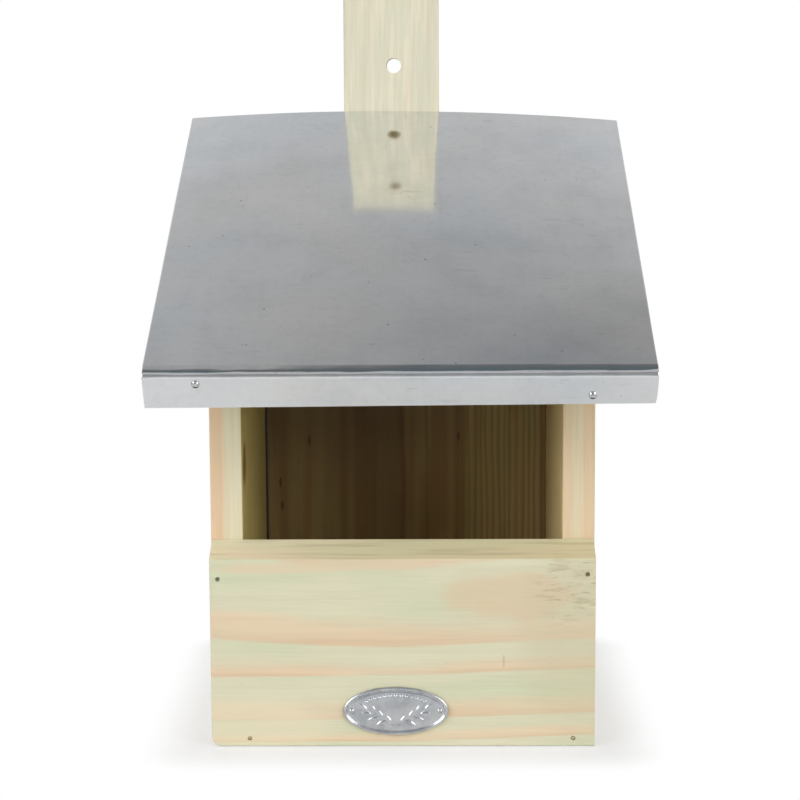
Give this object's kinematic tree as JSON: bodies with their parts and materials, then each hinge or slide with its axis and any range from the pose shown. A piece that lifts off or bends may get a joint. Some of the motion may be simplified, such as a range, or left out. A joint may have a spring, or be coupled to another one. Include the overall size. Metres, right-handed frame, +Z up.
{
  "type": "bird nest box",
  "caption": "Open-fronted timber nest box with a sloping folded zinc roof and a drilled back batten for hanging it on a wall or tree.",
  "frame": {"origin": "foot of the batten's wall face, in the middle plane of the box, level with the underside", "axes": "+X to the right seen from the front, +Y into the wall, +Z up"},
  "size_m": [0.2038, 0.1954, 0.357],
  "materials": {
    "pine": "planed treated pine, pale green to cream",
    "zinc": "bright zinc sheet",
    "badge": "pressed plate",
    "nails": "plated steel"
  },
  "bodies": {
    "root": {"front_board": "pine", "left_side": "pine", "right_side": "pine", "back_board": "pine", "floor_board": "pine", "roof_board": "pine", "mounting_batten": "pine", "zinc_cover": "zinc", "oval_badge": "badge", "front_upper_nails": "nails", "front_lower_nails": "nails", "left_floor_nails": "nails", "right_floor_nails": "nails", "left_back_nails": "nails", "right_back_nails": "nails", "back_floor_nails": "nails", "roof_nails": "nails", "zinc_front_nails": "nails", "zinc_side_nails": "nails", "badge_pins": "nails", "batten_screws": "nails"}
  },
  "joints": []
}
